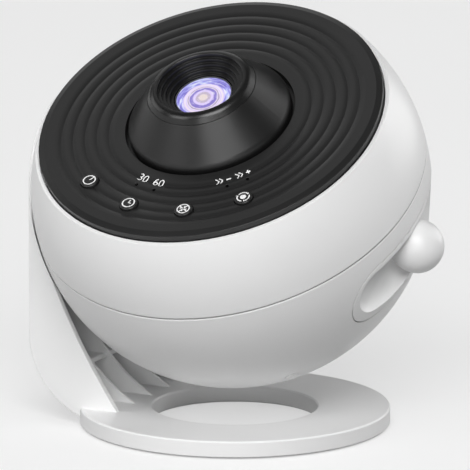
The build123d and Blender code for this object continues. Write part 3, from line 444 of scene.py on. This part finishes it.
NODE_LOOKS = {
    white: ["stand", "tray_front", "ball_knob", "screw_plugs"],
    white_shell: ["lower_shell", "upper_shell"],
    silicone: ["foot_pads"],
    panel: ["top_panel", "power_button", "timer_button", "light_button", "speed_button"],
    dome: ["focus_ring"],
    bezel: ["lens_bezel"],
    inner_grey: [
        "lens_barrel", "barrel_guide", "focus_cam", "retainer_ring", "chassis", "disc_tray",
        "disc_carrier", "lamp_tube", "tact_switches", "pivot_socket", "friction_washer",
    ],
    pipes: ["indicator_lights"],
    lit_lens(): ["projection_lens"],
    clear_glass(): ["rear_lens", "condenser_lens"],
    star_film(): ["star_disc"],
    board_green: ["button_board", "main_board", "led_board"],
    led_phosphor(): ["led_chip"],
    aluminium: ["heat_sink"],
    brass: ["drive_pinion"],
    steel: [
        "pivot_washer", "pivot_screw", "shell_screws", "drive_motor", "motor_shaft", "usb_inlet",
    ],
}
for finish, names in NODE_LOOKS.items():
    for name in names:
        mesh = nodes[name].data
        mesh.materials.clear()
        mesh.materials.append(finish.material)

# ------------------------------------------------------------------ printing

print_lift = 0.03 * MM
print_flatness = 0.15  # a line's thickness, as a share of its width
stroke = 0.23 * MM  # half the width of a line
sign_facet = 0.35 * MM  # longest edge of a sign's mesh
facet_passes = 4
ray_start = 1.0 * MM  # how far above a sign the search for the surface under it begins


def in_place(x, y, height, turn):
    """Matrix of a sign at a place in the head's axes, turned about the head's axis."""
    place = Matrix.Translation((x, y, height + print_lift))
    return head_matrix @ place @ Matrix.Rotation(turn, 4, "Z")


def lay_print(name, data, matrix, node, body):
    """A sign printed on a node: a curve or text as a fine mesh that follows the surface below."""
    source = bpy.data.objects.new(name, data)
    mesh = bpy.data.meshes.new_from_object(source)
    bpy.data.objects.remove(source)
    bpy.data.curves.remove(data)
    mesh.name = name
    mesh.transform(matrix)

    fine = bmesh.new()
    fine.from_mesh(mesh)
    for _ in range(facet_passes):
        bmesh.ops.triangulate(fine, faces=fine.faces)
        long_edges = [edge for edge in fine.edges if edge.calc_length() > sign_facet]
        bmesh.ops.subdivide_edges(fine, edges=long_edges, cuts=1)
    bmesh.ops.triangulate(fine, faces=fine.faces)

    ground = nodes[node].data
    faces = [face.vertices for face in ground.polygons]
    surface = BVHTree.FromPolygons([v.co for v in ground.vertices], faces)
    top = top_of(node)
    for vert in fine.verts:
        under = surface.ray_cast(vert.co + head_up * ray_start, -head_up)[0]
        vert.co += head_up * (in_head(under).z - top)
    fine.to_mesh(mesh)
    fine.free()

    sign = bpy.data.objects.new(name, mesh)
    scene.collection.objects.link(sign)
    mesh.materials.clear()
    mesh.materials.append(print_white.material)
    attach(sign, body)


def draw(name, strokes, matrix, node, body):
    """White lines: each stroke is a list of points in millimetres, and whether it closes."""
    curve = bpy.data.curves.new(name, "CURVE")
    curve.dimensions = "3D"
    curve.bevel_depth = stroke
    curve.bevel_resolution = 2
    for points, closed in strokes:
        spline = curve.splines.new("POLY")
        spline.points.add(len(points) - 1)
        for point, (x, y) in zip(spline.points, points):
            point.co = (x * MM, y * MM, 0, 1)
        spline.use_cyclic_u = closed
    lay_print(name, curve, matrix @ Matrix.Diagonal((1, 1, print_flatness, 1)), node, body)


# ------------------------------------------------------------------ icons on the buttons

# places and lengths of strokes are in millimetres, and angles in degrees from +X
icon_radius = 2.15


def polar(radius, angle):
    turn = math.radians(angle)
    return (radius * math.cos(turn), radius * math.sin(turn))


def arc(radius, start, end, steps):
    """Points of an arc about the middle."""
    return [polar(radius, start + (end - start) * i / steps) for i in range(steps + 1)]


def ring(radius, steps=28):
    """A closed circle."""
    return (arc(radius, 0, 360 - 360 / steps, steps - 1), True)


def spoke(inner, outer, angle):
    """A short line along a radius."""
    return ([polar(inner, angle), polar(outer, angle)], False)


def dial_icon():
    """A dial with its hand straight up."""
    return [ring(icon_radius), spoke(0.1, icon_radius, 90)]


def clock_icon():
    """A clock at three."""
    return [ring(icon_radius), ([(0, 1.4), (0, 0), (1.1, 0)], False)]


def fan_icon():
    """Four blades in a circle, with a short line before each."""
    strokes = [ring(icon_radius)]
    for quarter in range(0, 360, 90):
        strokes += [spoke(0.3, icon_radius, quarter + 45), spoke(0.7, 1.35, quarter + 70)]
    return strokes


def sun_icon():
    """A disc in a ring of three arcs, with a cross line at the start of each."""
    strokes = [ring(0.2, 12), ring(0.55, 20), ring(0.9, 24)]
    for third in range(22, 360, 120):
        strokes += [(arc(icon_radius, third, third + 98, 14), False)]
        strokes += [spoke(icon_radius - 0.4, icon_radius + 0.4, third)]
    return strokes


ICONS = {
    "power_button": dial_icon(),
    "timer_button": clock_icon(),
    "light_button": fan_icon(),
    "speed_button": sun_icon(),
}
for button, strokes in ICONS.items():
    centre = centre_of(button)
    upright = math.atan2(centre.x, -centre.y)
    place = in_place(centre.x, centre.y, top_of(button), upright)
    draw("icon_" + button, strokes, place, button, button)

# ------------------------------------------------------------------ labels by the small lights

label_circle = 35.6 * MM
label_size = 4.4 * MM  # a figure's full height; its digits are about 0.7 of it
label_thickness = 0.01 * MM

# a label's or a sign's angle is in degrees from the front, about the head's axis, towards +X
LABELS = {"first": ("30", -18.3), "second": ("60", -7.4)}
CHEVRONS = [[(x - 0.6, 1.2), (x + 0.5, 0), (x - 0.6, -1.2)] for x in (-2.0, -0.7)]
MINUS = [(1.1, 0), (2.7, 0)]
BAR = [(1.9, -0.8), (1.9, 0.8)]
SIGNS = {"less": ([*CHEVRONS, MINUS], 31.1), "more": ([*CHEVRONS, MINUS, BAR], 42.7)}


def on_panel(angle):
    """Matrix of a number or sign on the label circle."""
    turn = math.radians(angle)
    return in_place(label_circle * math.sin(turn), -label_circle * math.cos(turn), panel_top, turn)


for name, (text, angle) in LABELS.items():
    figures = bpy.data.curves.new("label_" + name, "FONT")
    figures.body = text
    figures.size = label_size
    figures.align_x = "CENTER"
    figures.align_y = "CENTER"
    figures.extrude = label_thickness
    lay_print("label_" + name, figures, on_panel(angle), "top_panel", "head")

for name, (lines, angle) in SIGNS.items():
    strokes = [(points, False) for points in lines]
    draw("sign_" + name, strokes, on_panel(angle), "top_panel", "head")

# ------------------------------------------------------------------ floor and sky

floor_bounce = 0.15  # the floor's colour for the light that comes back off it onto things
floor_glow = 0.5  # share of plain white in what is seen of the floor
floor_size = 6.0
sky_level = 0.06
sky_edge = (0.04, 0.10)  # height of the view's direction over which the sky dims


def floor_material():
    """Pale floor, seen nearly white, that keeps the shadow and sends little light back."""
    shader = Shader("floor")
    seen = shader.ramp(shader.noise(4), [(0.3, grey(0.90)), (0.7, grey(0.92))])
    direct = shader.seen_directly()
    tint = shader.mix(direct, (*grey(floor_bounce), 1), seen)
    shader.set(Base_Color=tint, Roughness=0.9, Specular_IOR_Level=0.0)
    glow = shader.add("ShaderNodeEmission")
    mix = shader.add("ShaderNodeMixShader")
    shader.link(shader.math("MULTIPLY", direct, floor_glow), mix.inputs["Fac"])
    shader.link(shader.bsdf.outputs["BSDF"], mix.inputs[1])
    shader.link(glow.outputs["Emission"], mix.inputs[2])
    output = next(n for n in shader.tree.nodes if n.type == "OUTPUT_MATERIAL")
    shader.link(mix.outputs["Shader"], output.inputs["Surface"])
    return shader.material


bpy.ops.mesh.primitive_plane_add(size=floor_size)
floor = bpy.context.object
floor.name = "floor"
floor.data.materials.append(floor_material())

# white at the horizon, which is all that the camera sees of it, and dimmer above
world = bpy.data.worlds.new("studio")
scene.world = world
world.use_nodes = True
sky = Nodes(world.node_tree)
background = sky.tree.nodes["Background"]
height = sky.height_of(sky.add("ShaderNodeTexCoord").outputs["Generated"])
sky.link(sky.between(height, sky_edge, (1.0, sky_level)), background.inputs["Strength"])
background.inputs["Color"].default_value = (*grey(1), 1)

# ------------------------------------------------------------------ lamps

lamp_aim = Vector((0, 0, 0.08))
LAMPS = [  # name, place, width and height, watts
    ("key", (0.9, -1.7, 1.5), (1.6, 1.2), 45),
    ("left", (-0.9, -1.6, 0.9), (0.9, 0.9), 10),
    ("low_front", (0.7, -1.6, 0.25), (0.9, 0.4), 5),
    ("top", (-0.9, 0.5, 1.9), (1.2, 1.2), 1.6),
    ("back_right", (1.2, 1.2, 1.1), (1.4, 1.2), 7),
    ("back_left", (-1.0, 1.3, 1.1), (1.4, 0.9), 3),
    ("side", (-1.8, -0.2, 0.9), (1.2, 1.0), 5),
    ("back", (0.8, 1.8, 0.5), (1.4, 0.8), 9),
]
for name, place, size, power in LAMPS:
    data = bpy.data.lights.new(name, "AREA")
    data.shape = "RECTANGLE"
    data.size, data.size_y = size
    data.energy = power
    light = bpy.data.objects.new(name, data)
    scene.collection.objects.link(light)
    light.location = place
    light.rotation_euler = (lamp_aim - Vector(place)).to_track_quat("-Z", "Y").to_euler()
